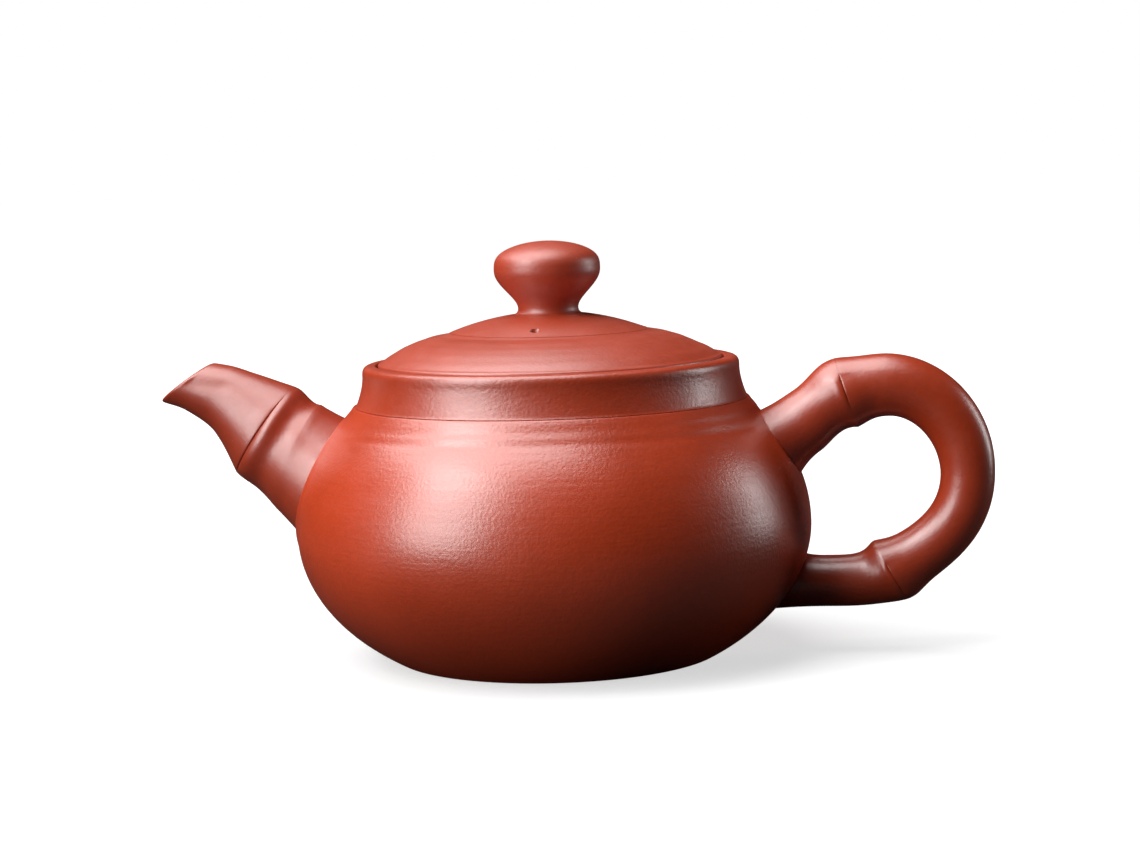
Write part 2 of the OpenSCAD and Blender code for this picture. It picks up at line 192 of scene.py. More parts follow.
def stations(length, fine=0.06, coarse=0.5, growth=1.15):
    """Distances from a node to the far end of a stretch, close together near the node."""
    places = [0.0]
    step = fine
    while places[-1] + 1.5 * step < length:
        places.append(places[-1] + step)
        step = min(step * growth, coarse)
    return np.array([*places, length])


# ---- Meshes ----
def skin(name, rings, closed):
    """A skin over rings of points in millimetres. The last ring joins the first one if closed, and
    otherwise a fan of faces closes each end. Its faces point outwards."""
    count, around = rings.shape[:2]
    points = list(rings.reshape(-1, 3) * MM)
    index = np.arange(count * around).reshape(count, around)
    beside = np.roll(index, -1, axis=1)
    above = np.roll(index, -1, axis=0)
    above_beside = np.roll(beside, -1, axis=0)
    rows = count if closed else count - 1
    quads = np.stack([index, beside, above_beside, above], axis=-1)[:rows]
    faces = quads.reshape(-1, 4).tolist()
    if not closed:
        for row, flip in ((0, True), (count - 1, False)):
            middle = len(points)
            points.append(rings[row].mean(axis=0) * MM)
            for a, b in zip(index[row].tolist(), beside[row].tolist()):
                faces.append((middle, b, a) if flip else (middle, a, b))
    mesh = bpy.data.meshes.new(name)
    mesh.from_pydata([tuple(p) for p in points], [], faces)
    built = bmesh.new()
    built.from_mesh(mesh)
    if built.calc_volume(signed=True) < 0:
        bmesh.ops.reverse_faces(built, faces=built.faces)
        built.to_mesh(mesh)
    built.free()
    smooth(mesh)
    piece = bpy.data.objects.new(name, mesh)
    bpy.context.scene.collection.objects.link(piece)
    return piece


def smooth(mesh):
    """Smooth shading, with crisp edges where the surface turns sharply."""
    mesh.shade_smooth()
    mesh.set_sharp_from_angle(angle=math.radians(SHARP_EDGE_DEG))


def turned(name, outline, shape=None, closed=True, around=AROUND):
    """A skin turned round Z from an outline of (radius, height) points. shape(r, z, angle) may move
    the points, so that the piece isn't perfectly even."""
    angle = np.linspace(0, 2 * math.pi, around, endpoint=False)[None, :]
    r = np.repeat(outline[:, :1], around, axis=1)
    z = np.repeat(outline[:, 1:], around, axis=1)
    if shape:
        r, z = shape(r, z, angle)
    return skin(name, np.stack([r * np.cos(angle), r * np.sin(angle), z], axis=-1), closed)


def cut(piece, cutter):
    """Takes the cutter's solid out of a piece, for good."""
    change = piece.modifiers.new("cut", "BOOLEAN")
    change.object = cutter
    change.solver = "MANIFOLD"
    bpy.context.view_layer.update()
    shown = piece.evaluated_get(bpy.context.evaluated_depsgraph_get())
    result = bpy.data.meshes.new_from_object(shown)
    piece.modifiers.clear()
    piece.data = result
    smooth(result)
    bpy.data.objects.remove(cutter)


def joined(cutters):
    """Several cutters as one object."""
    first, *others = cutters
    together = bmesh.new()
    for cutter in cutters:
        together.from_mesh(cutter.data)
    together.to_mesh(first.data)
    together.free()
    for cutter in others:
        bpy.data.objects.remove(cutter)
    return first


def drill(name, outline, place, direction, around=48):
    """A turned cutter, whose axis starts at place and runs along direction."""
    cutter = turned(name, np.array(outline, float), closed=False, around=around)
    turn = Vector(direction).to_track_quat("Z", "Y").to_matrix().to_4x4()
    cutter.data.transform(Matrix.Translation(Vector(place) * MM) @ turn)
    return cutter


def dress(piece, body, slot, material, *nodes):
    """Gives a piece its material, and puts it in place of its CAD nodes."""
    piece.data.materials.clear()
    piece.data.materials.append(material)
    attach(piece, body)
    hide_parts(*nodes)


def line_inside(piece, is_inside):
    """Gives a piece the matte inside clay on the faces for whose middle is_inside(r, z) is true."""
    piece.data.materials.append(inside_clay)
    for face in piece.data.polygons:
        middle = face.center / MM
        face.material_index = int(is_inside(math.hypot(middle.x, middle.y), middle.z))


# ---- Clay ----
def node(tree, kind, inputs=(), **settings):
    """A shader node with its settings. An input is (name or number, value or output socket)."""
    made = tree.nodes.new(kind)
    for name, value in settings.items():
        setattr(made, name, value)
    for key, value in inputs:
        if isinstance(value, bpy.types.NodeSocket):
            tree.links.new(value, made.inputs[key])
        else:
            made.inputs[key].default_value = value
    return made


def noise(tree, place, scale, detail=3.0, roughness=0.55):
    """Noise from 0 to 1 at a scale in features per millimetre."""
    settings = (("Vector", place), ("Scale", scale), ("Detail", detail), ("Roughness", roughness))
    return node(tree, "ShaderNodeTexNoise", settings).outputs["Fac"]


def remap(tree, value, from_low, from_high, to_low, to_high):
    """A value moved from one range to another, and held within it."""
    ends = (("Value", value), ("From Min", from_low), ("From Max", from_high))
    ends = (*ends, ("To Min", to_low), ("To Max", to_high))
    return node(tree, "ShaderNodeMapRange", ends).outputs["Result"]


def math_node(tree, operation, a, b):
    return node(tree, "ShaderNodeMath", ((0, a), (1, b)), operation=operation).outputs[0]


def weighted(tree, first, second, share):
    """The two values together, the first by its share and the second by the rest."""
    first = math_node(tree, "MULTIPLY", first, share)
    second = math_node(tree, "MULTIPLY", second, 1 - share)
    return math_node(tree, "ADD", first, second)


def between(tree, share, first, second):
    """The first colour where share is 0, and the second where it is 1."""
    inputs = ((0, share), (6, first), (7, second))
    return node(tree, "ShaderNodeMix", inputs, data_type="RGBA").outputs[2]


def bump(tree, height, depth, *under):
    """A normal from a height that runs from 0 to 1, for a depth in millimetres."""
    inputs = (("Height", height), ("Strength", 1.0), ("Distance", depth * MM), *under)
    return node(tree, "ShaderNodeBump", inputs).outputs["Normal"]


def stretched(tree, place, scale):
    """A place with its axes scaled. Uneven scales draw noise out into strokes."""
    scaled_by = (("Vector", place), ("Scale", scale))
    return node(tree, "ShaderNodeMapping", scaled_by).outputs["Vector"]


# Features per millimetre of the clay's patterns
CLOUDS = 0.045
MOTTLE = 0.9
GRAIN = 1.7
SAND = 0.32

CLAY_IOR = 2.05
TINT_SPREAD = 0.14  # how far the colour strays to either side, as a share of itself
GLOSS_SPREAD = 0.05  # how far the roughness strays to either side
NOISE_RANGE = (0.3, 0.7)  # what the noise mostly keeps to
SAND_TINT = (0.75, 0.32, 0.16, 1)
SAND_R = 0.088  # mm
SAND_SHARE = 0.35  # of the cells of its pattern
SAND_STRENGTH = 0.5


def clay(name, tint, roughness, peel, strokes, stroke_axes):
    """Fired Yixing clay. tint is its colour, peel the depth of its fine leathery grain and strokes
    the depth of its burnishing marks, both in millimetres. stroke_axes are the marks' features per
    millimetre along each axis."""
    material = bpy.data.materials.new(name)
    material.use_nodes = True
    tree = material.node_tree
    shader = tree.nodes["Principled BSDF"]
    shader.inputs["IOR"].default_value = CLAY_IOR
    shader.inputs["Specular IOR Level"].default_value = 0.5

    metres = node(tree, "ShaderNodeTexCoord").outputs["Object"]
    place = stretched(tree, metres, (1 / MM,) * 3)
    clouds = noise(tree, place, CLOUDS, detail=2.0)
    mottle = noise(tree, place, MOTTLE, detail=4.0)
    grain = noise(tree, place, GRAIN, detail=2.5, roughness=0.5)
    marks = noise(tree, stretched(tree, place, stroke_axes), 1.0)

    dark = (*(c * (1 - TINT_SPREAD) for c in tint), 1)
    light = (*(c * (1 + TINT_SPREAD) for c in tint), 1)
    shade = remap(tree, weighted(tree, clouds, mottle, 0.6), *NOISE_RANGE, 0.0, 1.0)
    colour = between(tree, sand(tree, place), between(tree, shade, dark, light), SAND_TINT)
    tree.links.new(colour, shader.inputs["Base Color"])

    glossy, dull = roughness - GLOSS_SPREAD, roughness + GLOSS_SPREAD
    worn = remap(tree, weighted(tree, clouds, marks, 0.5), *NOISE_RANGE, glossy, dull)
    tree.links.new(worn, shader.inputs["Roughness"])

    leathery = bump(tree, grain, peel)
    tree.links.new(bump(tree, marks, strokes, ("Normal", leathery)), shader.inputs["Normal"])
    return material


def sand(tree, place):
    """Sparse pale sand grains: a small dot in some of the cells of a Voronoi pattern."""
    cells = node(tree, "ShaderNodeTexVoronoi", (("Vector", place), ("Scale", SAND)))
    dot = math_node(tree, "LESS_THAN", cells.outputs["Distance"], SAND_R * SAND)
    chance = node(tree, "ShaderNodeSeparateColor", (("Color", cells.outputs["Color"]),)).outputs[0]
    shown = math_node(tree, "MULTIPLY", dot, math_node(tree, "LESS_THAN", chance, SAND_SHARE))
    return math_node(tree, "MULTIPLY", shown, SAND_STRENGTH)


# How the burnishing marks run: round the pot on the turned pieces, and any way on the tubes
ROUND_BODY = (0.10, 0.10, 1.6)
ROUND_LID = (0.3, 0.3, 1.2)
ROUND_NECK = (0.35, 0.35, 0.9)
ANY_WAY = (0.5, 0.5, 0.5)

CLAY = (0.48, 0.043, 0.007)
# The same clay made darker for the neck, the lid and the handle, and more so for the spout: painted
# shade, which takes down the light that the lamps give these parts
CLAY_WITH_PAINTED_SHADE = tuple(0.87 * c for c in CLAY)
CLAY_WITH_MORE_PAINTED_SHADE = tuple(0.76 * c for c in CLAY)
INSIDE_CLAY = (0.36, 0.05, 0.021)
body_clay = clay("clay_body", CLAY, 0.34, peel=0.05, strokes=0.025, stroke_axes=ROUND_BODY)
neck_clay = clay("clay_neck", CLAY_WITH_PAINTED_SHADE, 0.38, peel=0.05, strokes=0.05, stroke_axes=ROUND_NECK)
lid_clay = clay("clay_lid", CLAY_WITH_PAINTED_SHADE, 0.44, peel=0.03, strokes=0.02, stroke_axes=ROUND_LID)
spout_clay = clay("clay_spout", CLAY_WITH_MORE_PAINTED_SHADE, 0.39, peel=0.02, strokes=0.02, stroke_axes=ANY_WAY)
handle_clay = clay("clay_handle", CLAY_WITH_PAINTED_SHADE, 0.34, peel=0.03, strokes=0.02, stroke_axes=ANY_WAY)
inside_clay = clay("clay_inside", INSIDE_CLAY, 0.6, peel=0.06, strokes=0.08, stroke_axes=ROUND_BODY)


# ---- Belly ----
# Half heights of the ellipses that the belly follows below and above its widest ring
LOW_B = BELLY_Z / math.sqrt(1 - (BASE_R / BELLY_R) ** 2)
HIGH_B = (SHOULDER_Z - BELLY_Z) / math.sqrt(1 - (SHOULDER_R / BELLY_R) ** 2)


def belly_at(z):
    """Outside radius of the belly at a height."""
    half_height = np.where(z < BELLY_Z, LOW_B, HIGH_B)
    round_part = BELLY_R * np.sqrt(np.clip(1 - ((z - BELLY_Z) / half_height) ** 2, 0, 1))
    slope = lerp(SHOULDER_R, CREASE_R, (z - SHOULDER_Z) / (CREASE_Z - SHOULDER_Z))
    return np.where(z < SHOULDER_Z, round_part, slope)


def belly_curve(low_z, high_z, inset=0.0, count=150):
    """Outline of the belly between two heights, moved inwards by inset."""
    low_angle = math.asin((low_z - BELLY_Z) / LOW_B)
    high_angle = math.asin((high_z - BELLY_Z) / HIGH_B)
    angle = np.linspace(low_angle, high_angle, count)
    half_height = np.where(angle < 0, LOW_B, HIGH_B)
    outward = np.stack([half_height * np.cos(angle), BELLY_R * np.sin(angle)], axis=1)
    outward /= np.linalg.norm(outward, axis=1)[:, None]
    curve = np.stack([BELLY_R * np.cos(angle), BELLY_Z + half_height * np.sin(angle)], axis=1)
    return curve - inset * outward


RINGS_Z = 44.6  # the middle of the burnished rings
RING_PITCH = 1.9
SLIP_R = 11.6  # from the spout's axis to the crest of the slip round its joint


def belly_shape(r, z, angle):
    """The hand-beaten wall isn't quite round, and burnishing left soft rings on its shoulder."""
    outside = ease(BORE_R - 2, BORE_R, r) * ease(1.0, 6.0, z)
    uneven = 0.10 * np.sin(2 * angle + 0.5 + z / 25) + 0.06 * np.sin(3 * angle - 0.9 - z / 14)
    ripple = 0.02 * np.sin(7 * angle + z / 3) * np.sin(5 * angle - z / 4.1)
    below_crease = 1 - ease(CREASE_Z - 1.5, CREASE_Z - 0.4, z)
    wandering_z = z + 0.25 * np.sin(angle * 2 + 1)
    rings = 0.05 * np.sin(2 * math.pi * wandering_z / RING_PITCH) * hump(z - RINGS_Z, 1.9)
    raised = below_crease * (uneven + ripple + spout_slip(r, z, angle)) + rings
    return r + outside * raised, z


def spout_slip(r, z, angle):
    """How far the slip that was smoothed round the spout's joint raises the belly."""
    place = np.stack([r * np.cos(angle), r * np.sin(angle), z], axis=-1) - SPOUT_HOLE
    across = np.linalg.norm(np.cross(place, INWARD), axis=-1)
    this_side = place[..., 0] < 15
    return 0.5 * hump(across - SLIP_R, 1.9) * this_side


def make_belly():
    """The wall from its foot outside the bottom slab, up to the crease and down again inside."""
    outer = [(r, z, 0) for r, z in belly_curve(0.6, SHOULDER_Z)]
    inner = [(r, z, 0) for r, z in belly_curve(4.6, SHOULDER_Z - 1.0, inset=WALL)[::-1]]
    outline = softened([
        (FLOOR_R, 0.0, 0),
        (BASE_R, 0.0, 0.5),
        *outer,
        (CREASE_R, CREASE_Z, 0.35),
        (NECK_FOOT_R + 0.05, CREASE_Z - 0.10, 0.06),
        (NECK_FOOT_R - 0.7, CREASE_Z, 0),
        (BORE_R, CREASE_Z, 0.8),
        *inner,
        (FLOOR_R + 1.5, FLOOR_T + 0.4, 1.0),
        (FLOOR_R, FLOOR_T, 0),
    ])
    belly = turned("belly", outline, belly_shape)
    hole = [(SPOUT_HOLE_R, 0), (SPOUT_HOLE_R, 5 * WALL)]
    cut(belly, drill("hole", hole, SPOUT_HOLE - 2 * WALL * INWARD, INWARD))
    dress(belly, "pot", "clay_body", body_clay, "belly_wall")
    line_inside(belly, lambda r, z: z > 0.5 and r < belly_at(z) - 0.4 * WALL)


def make_base():
    """The bottom slab, with a shallow dished underside and soft rings where it was smoothed."""
    outline = softened([
        (0.3, 0.5, 0), (FLOOR_R - 5.5, 0.5, 2.0), (FLOOR_R - 3.5, 0.0, 1.0), (FLOOR_R, 0.0, 0.15),
        (FLOOR_R, FLOOR_T, 0.15), (0.3, FLOOR_T, 0),
    ])

    def smoothed(r, z, angle):
        rings = 0.04 * np.sin(r * 2.1 + 0.5 * np.sin(angle)) * ease(2, 6, r) * ease(0.2, 0.5, z)
        return r, z + rings

    base = turned("base", outline, smoothed, closed=False)
    dress(base, "pot", "clay_body", inside_clay, "base_disc")


def make_neck():
    """The collar above the crease, with a rounded rim."""
    lift = np.linspace(0, 1, 24)
    side = [
        (NECK_R + (NECK_FOOT_R - NECK_R) * (1 - u) ** 1.7, CREASE_Z + NECK_FLARE_H * u, 0)
        for u in lift[1:]
    ]
    outline = softened([
        (BORE_R, CREASE_Z, 0),
        (NECK_FOOT_R + 0.10, CREASE_Z, 0.06),
        *side,
        (NECK_R, RIM_Z, NECK_RIM_ROUNDING),
        (BORE_R, RIM_Z, 0.35),
        (BORE_R, CREASE_Z, 0),
    ], step=0.35)

    def burnished(r, z, angle):
        outside = ease(BORE_R + 1, BORE_R + 2, r)
        uneven = 0.05 * np.sin(2 * angle + 0.2) + 0.02 * np.sin(5 * angle + z / 2)
        return r + outside * (uneven + 0.12 * np.cos(angle - UNEVEN_TURN)), z

    neck = turned("neck", outline, burnished)
    dress(neck, "pot", "clay_body", neck_clay, "neck_collar")


def make_ledge():
    """The ring inside the mouth that carries the lid."""
    low_z = LEDGE_Z - LEDGE_T
    outline = softened([
        (BORE_R, low_z + LEDGE_T / 2, 0), (BORE_R, LEDGE_Z, 0), (LEDGE_R, LEDGE_Z, 0.4),
        (LEDGE_R, low_z, 0.6), (BORE_R, low_z, 0), (BORE_R, low_z + LEDGE_T / 2, 0),
    ])
    ledge = turned("lid_ledge", outline[:-1])
    dress(ledge, "pot", "clay_inside", inside_clay, "mouth_ring")


# ---- Spout ----
SPOUT_ROOT_SLOPE = math.radians(41)
INWARD = np.array([math.cos(SPOUT_ROOT_SLOPE), 0.0, -math.sin(SPOUT_ROOT_SLOPE)])
# The key of a section is [distance outside the belly's widest ring, height, lean in degrees, half
# height, half width].
SPOUT_NODE = np.array([6.8, 42.6, 54.5, 9.6, 9.6 * 0.92])
SPOUT_MOUTH = np.array([21.9, 52.2, 35, 6.1, 6.1 * 0.81])
SPOUT_BASE_LEN = 8.2
SPOUT_BEND = np.array([0, 1.6, 12, -1.4, -0.84])
SPOUT_KEYS = [
    SPOUT_NODE,
    lerp(SPOUT_NODE, SPOUT_MOUTH, 0.45) + SPOUT_BEND,
    lerp(SPOUT_NODE, SPOUT_MOUTH, 0.76) + 0.65 * SPOUT_BEND,
    SPOUT_MOUTH,
]
SPOUT_ROOT = np.array([
    SPOUT_NODE[0] - SPOUT_BASE_LEN * math.cos(SPOUT_ROOT_SLOPE),
    SPOUT_NODE[1] - SPOUT_BASE_LEN * math.sin(SPOUT_ROOT_SLOPE),
    66.5, 10.8, 10.8,
])
BEND_LENGTHENS = 1.01  # the bent tip's length by its straight one
TIP_LEN = np.linalg.norm(SPOUT_MOUTH[:2] - SPOUT_NODE[:2]) * BEND_LENGTHENS
TURN = np.linspace(0, 2 * math.pi, TUBE_AROUND, endpoint=False)


def section(centre, lean, half, width):
    """A ring of points round a centre (x, z). Its first point is half away from it along the lean,
    and a quarter turn later it is at +Y. half and width may differ from point to point."""
    x = centre[0] + half * np.cos(TURN) * math.cos(lean)
    z = centre[1] + half * np.cos(TURN) * math.sin(lean)
    return np.stack([x, width * np.sin(TURN), z], axis=1)


def spout_section(key, off):
    """A section of the spout from its key, grown by off."""
    return section((-BELLY_R - key[0], key[1]), math.radians(key[2]), key[3] + off, key[4] + off)


def landed(points, direction, reach=16.0):
    """Points that slide along direction until they are the slip's thickness off the belly."""
    near = np.zeros(len(points))
    step = reach
    for _ in range(26):
        step /= 2
        tried = points + (near + step)[:, None] * direction
        outside = np.hypot(tried[:, 0], tried[:, 1]) > belly_at(tried[:, 2]) + SLIP
        near = near + step * outside
    return points + near[:, None] * direction


def grown(ring, by):
    """A ring moved outwards from its middle, by a distance that may differ from point to point."""
    out = ring - ring.mean(axis=0)
    return ring + out / np.linalg.norm(out, axis=1)[:, None] * np.reshape(by, (-1, 1))


def scaled(ring, share):
    """A ring made smaller or larger round its middle."""
    middle = ring.mean(axis=0)
    return middle + share * (ring - middle)


def root_run(ring, inward, flare, solid=True, spread=2.2):
    """Rings that carry a tube on from its first section to a crisp seam on the belly, and on to the
    middle of its foot if it is solid. flare is how much wider the seam is, and spread how late the
    tube starts to widen."""
    run = [landed(scaled(ring, k), inward) for k in (0.05, 0.5, 0.9)] if solid else []
    seam = landed(grown(ring, flare), inward)
    run.append(scaled(seam, 0.985))
    for t in (0.02, 0.08, 0.18, 0.3, 0.45, 0.6, 0.8):
        wider = grown(ring, flare * (1 - t) ** spread)
        run.append(lerp(landed(wider, inward), wider, t))
    return run


# How far each point of a section is from the section's first point, as a turn from 0 to pi
FROM_TOP = np.abs(turn_between(TURN, 0.0))
# OVER is 1 on a tube's first side and UNDER on the side across from it, and both are 0 between
OVER = 1 - ease(0.0, math.radians(70), FROM_TOP)
UNDER = ease(math.radians(110), math.pi, FROM_TOP)
SPOUT_HOLE = landed(np.array([[-BELLY_R - SPOUT_ROOT[0], 0.0, SPOUT_ROOT[1]]]), INWARD)[0]


def on_sides(start_deg, full_deg, fade_deg, end_deg):
    """1 on the two sides of a tube between two turns from its first point, and 0 beyond them."""
    starts = ease(math.radians(start_deg), math.radians(full_deg), FROM_TOP)
    return starts * (1 - ease(math.radians(fade_deg), math.radians(end_deg), FROM_TOP))


def spout_roll(distance):
    """How far the root side of the spout's node stands out: a roll, and a valley behind it."""
    roll = (0.5 - 0.35 * OVER - 0.35 * UNDER) * hump(distance - 1.4, 1.6)
    valley = on_sides(14, 50, 148, 172) * bumps(distance, (-0.42, 4.5, 2.3))
    top = bumps(distance, (0.28, 0.0, 3.0), (-0.35, 6.0, 2.2), (0.35, 9.5, 1.8))
    under = bumps(distance, (0.18, 0.0, 1.4), (-0.62, 5.0, 4.0))
    return roll + valley + OVER * top + UNDER * under - spout_groove(distance, 0.20, 0.35)


def spout_flare(distance):
    """How far the mouth side of the node stands out, where it starts lower than the roll."""
    flare = (0.30 - 0.16 * UNDER) * hump(distance, 2.4)
    top = bumps(distance, (0.06, 0.0, 3.5), (-0.08, 13.5, 2.5)) - 0.18 * ease(3, 6, distance)
    under = bumps(distance, (0.15, 16.5, 2.0), (-0.25, 5.0, 3.0), (-0.38, 12.0, 3.2))
    taken = spout_groove(distance, 0.12, 0.35) + side_dent(distance) + mouth_corners(distance)
    return flare + OVER * top + UNDER * under - taken


def side_dent(distance):
    """The soft dent along each side of the mouth's length, which runs lower nearer the mouth."""
    middle = lerp(math.radians(62), math.radians(80), ease(4, 14, distance))
    along = ease(3, 8, distance) * (1 - ease(15, 17.2, distance))
    return 0.20 * hump(FROM_TOP - middle, 0.21) * along


def spout_groove(distance, depth, reach):
    """How deep the groove cuts into the sides of the spout's node. A fine line is in its middle."""
    fine_line = 0.10 * np.exp(-distance / 0.09)
    return on_sides(22, 80, 130, 165) * (depth * np.exp(-distance / reach) + fine_line)


def mouth_corners(distance):
    """How far the corners of the slanted mouth are rounded off, at its top and at its lower tip."""
    top = ((1 + np.cos(TURN)) / 2) ** 2 * rounding(distance, TIP_LEN - 2.0, TIP_LEN, 1.5)
    lower = ((1 - np.cos(TURN)) / 2) ** 2 * rounding(distance, TIP_LEN - 1.4, TIP_LEN, 0.8)
    return top + lower


def rounding(x, start, end, size):
    """How far a round corner draws a surface in, from nothing at start to size at the very end."""
    u = np.clip((x - start) / (end - start), 0, 1)
    return size * (1 - np.sqrt(1 - u * u))


def make_spout_base():
    """The first length of the spout, from the belly to its node."""
    outer = []
    for distance in stations(SPOUT_BASE_LEN)[::-1]:
        key = lerp(SPOUT_NODE, SPOUT_ROOT, distance / SPOUT_BASE_LEN)
        outer.append(spout_section(key, spout_roll(distance)))
    inner = [
        spout_section(lerp(SPOUT_NODE, SPOUT_ROOT, t), -SPOUT_WALL) for t in np.linspace(0, 1, 10)
    ]
    flare = 0.9 + 0.3 * OVER + 1.1 * on_sides(30, 75, 115, 160)
    run = root_run(outer[0], INWARD, flare, solid=False, spread=1.3)
    hollow = landed(scaled(inner[-1], 1.05), INWARD)
    spout = skin("spout_root_length", np.array([*run, *outer, *inner, hollow]), closed=True)
    dress(spout, "pot", "clay_trim", spout_clay, "spout_base")


def make_spout_tip():
    """The second length of the spout, from its node to the thin slanted mouth."""
    distances = stations(TIP_LEN)
    mouth = TIP_LEN - 2.1 * np.cos(np.linspace(0, math.pi / 2, 26))
    distances = np.concatenate([distances[distances < mouth[0] - 0.1], mouth])
    outer = []
    inner = []
    for distance in distances:
        share = distance / TIP_LEN
        key = through(SPOUT_KEYS, share)
        wall = lerp(SPOUT_WALL, LIP_WALL, share)
        drawn_in = rounding(distance, TIP_LEN - 0.7, TIP_LEN, 0.4 * LIP_WALL)
        opened = rounding(distance, TIP_LEN - 0.7, TIP_LEN, 0.6 * LIP_WALL)
        outer.append(spout_section(key, spout_flare(distance) - drawn_in))
        inner.append(spout_section(key, opened - wall - mouth_corners(distance)))
    spout = skin("spout_mouth_length", np.array(outer + inner[-2::-1]), closed=True)
    dress(spout, "pot", "clay_trim", spout_clay, "spout_tip")


def make_strainer():
    """The ball filter that bulges into the pot behind the spout, with its ring of small holes."""
    middle = SPOUT_HOLE + WALL * INWARD
    across = np.array([0.0, 1.0, 0.0])
    up = np.cross(INWARD, across)
    turn = np.linspace(0, 2 * math.pi, 72, endpoint=False)

    def place(radius, polar, azimuth):
        out = math.sin(polar) * (math.cos(azimuth) * across + math.sin(azimuth) * up)
        return middle + radius * (math.cos(polar) * INWARD + out)

    def edge_angle(radius, azimuth):
        """The polar angle at which a sphere of this radius meets the inside of the wall."""
        near, far = 0.2, 2.2
        for _ in range(24):
            polar = (near + far) / 2
            p = place(radius, polar, azimuth)
            if math.hypot(p[0], p[1]) < belly_at(p[2]) - WALL - 0.1:
                near = polar
            else:
                far = polar
        return near

    def shell(radius, shares):
        edges = [edge_angle(radius, a) for a in turn]
        return [[place(radius, s * e, a) for a, e in zip(turn, edges)] for s in shares]

    outer = shell(STRAINER_R, np.linspace(0.01, 1, 34))
    inner = shell(STRAINER_R - STRAINER_T, np.linspace(1, 0.01, 34))
    strainer = skin("strainer", np.array(outer + inner), closed=False)
    flare = 1.25 * STRAINER_HOLE_R
    low, high = STRAINER_R - STRAINER_T, STRAINER_R
    hole = [
        (flare, low - 0.4), (flare, low), (STRAINER_HOLE_R, low + 0.25),
        (STRAINER_HOLE_R, high - 0.25), (flare, high), (flare, high + 0.4),
    ]
    spots = [(0.0, 0.0)]
    spots += [(24.0 * row, 60.0 * i / row) for row in (1, 2) for i in range(6 * row)]
    rays = [place(1.0, math.radians(p), math.radians(a)) - middle for p, a in spots]
    cut(strainer, joined([drill("hole", hole, middle, ray, around=24) for ray in rays]))
    dress(strainer, "pot", "clay_inside", inside_clay, "strainer_dome")


# ---- Handle ----
def direction(slope_deg):
    """The direction (x, z) at a slope."""
    return np.array([math.cos(math.radians(slope_deg)), math.sin(math.radians(slope_deg))])


class Path:
    """A middle line in the X-Z plane, measured along its length."""

    def __init__(self, *stretches):
        points = np.concatenate([stretches[0], *(s[1:] for s in stretches[1:])])
        steps = np.linalg.norm(np.diff(points, axis=0), axis=1)
        self.points = points
        self.far = np.concatenate([[0], np.cumsum(steps)])
        self.length = self.far[-1]

    def at(self, distance):
        """The place (x, z) at a distance along the line."""
        return np.array([np.interp(distance, self.far, self.points[:, k]) for k in (0, 1)])

    def slope(self, distance):
        """The line's slope at a distance along it, over a short step to either side."""
        ahead = self.at(min(distance + 0.06, self.length)) - self.at(max(distance - 0.06, 0))
        return math.atan2(ahead[1], ahead[0])


HANDLE_FLAT = 0.95  # width by height of a section
HANDLE_TOP_T = 11.5
HANDLE_T = 9.9
LOWER_END_T = 10.7  # at the second node, without its ridge
LOWER_T = 9.5
# Places (x, z) on the handle's middle line, and its slopes there
UPPER_NODE = np.array([BELLY_R + 7.1, 47.8])
UPPER_NODE_SLOPE_DEG = 18.5
UPPER_ROOT_SLOPE_DEG = 33.5
UPPER_ROOT = np.array([belly_at(39.5), 39.5])
UPPER_START = UPPER_ROOT + 5.0 * direction(UPPER_ROOT_SLOPE_DEG)
HANDLE_TOP = np.array([BELLY_R + 14.3, 54.9 - HANDLE_TOP_T / 2])
HANDLE_FAR = np.array([BELLY_R + 33.7 - HANDLE_T / 2, 33.0])
LOWER_NODE = np.array([BELLY_R + 14.7, 14.9])
LOWER_NODE_SLOPE_DEG = 29.5
LOWER_START = np.array([belly_at(13.0) + 5.5, 13.0])
QUARTER = 0.54  # share of a quarter ellipse's radius that its Bezier handles take

BOW_RUN = (HANDLE_TOP[0] - UPPER_NODE[0]) / 3
BOW_WIDE = HANDLE_FAR[0] - HANDLE_TOP[0]
BOW_HIGH = HANDLE_TOP[1] - HANDLE_FAR[1]


def leg(start, start_deg, end, end_deg):
    """A curve between two places with a slope at each."""
    run = np.linalg.norm(end - start) / 3
    return bezier([start, start + run * direction(start_deg), end - run * direction(end_deg), end])


UPPER_PATH = Path(leg(UPPER_START, UPPER_ROOT_SLOPE_DEG, UPPER_NODE, UPPER_NODE_SLOPE_DEG))
LOWER_PATH = Path(leg(LOWER_START, 0.0, LOWER_NODE, LOWER_NODE_SLOPE_DEG))
RISE = bezier([
    UPPER_NODE,
    UPPER_NODE + BOW_RUN * direction(UPPER_NODE_SLOPE_DEG),
    HANDLE_TOP - [BOW_RUN, 0],
    HANDLE_TOP,
])
SHOULDER = bezier([
    HANDLE_TOP,
    HANDLE_TOP + [QUARTER * BOW_WIDE, 0],
    HANDLE_FAR + [0, QUARTER * BOW_HIGH],
    HANDLE_FAR,
])
FALL = bezier([
    HANDLE_FAR,
    HANDLE_FAR - [0, 0.56 * (HANDLE_FAR[1] - LOWER_NODE[1])],
    LOWER_NODE + 0.5 * (HANDLE_FAR[0] - LOWER_NODE[0]) * direction(LOWER_NODE_SLOPE_DEG),
    LOWER_NODE,
])
BOW_PATH = Path(RISE, SHOULDER, FALL)


def handle_section(path, distance, half, off):
    """A section square to the path; its first point is on the handle's upper or outer side."""
    slope = path.slope(distance)
    return section(path.at(distance), slope + math.pi / 2, half + off, half * HANDLE_FLAT + off)


def dent(distance, at, size, toward_deg, spread_deg, depth):
    """A soft dent of some depth, round a place on a tube."""
    turn = turn_between(TURN, math.radians(toward_deg))
    return -depth * hump(distance - at, size) * hump(turn, math.radians(spread_deg))


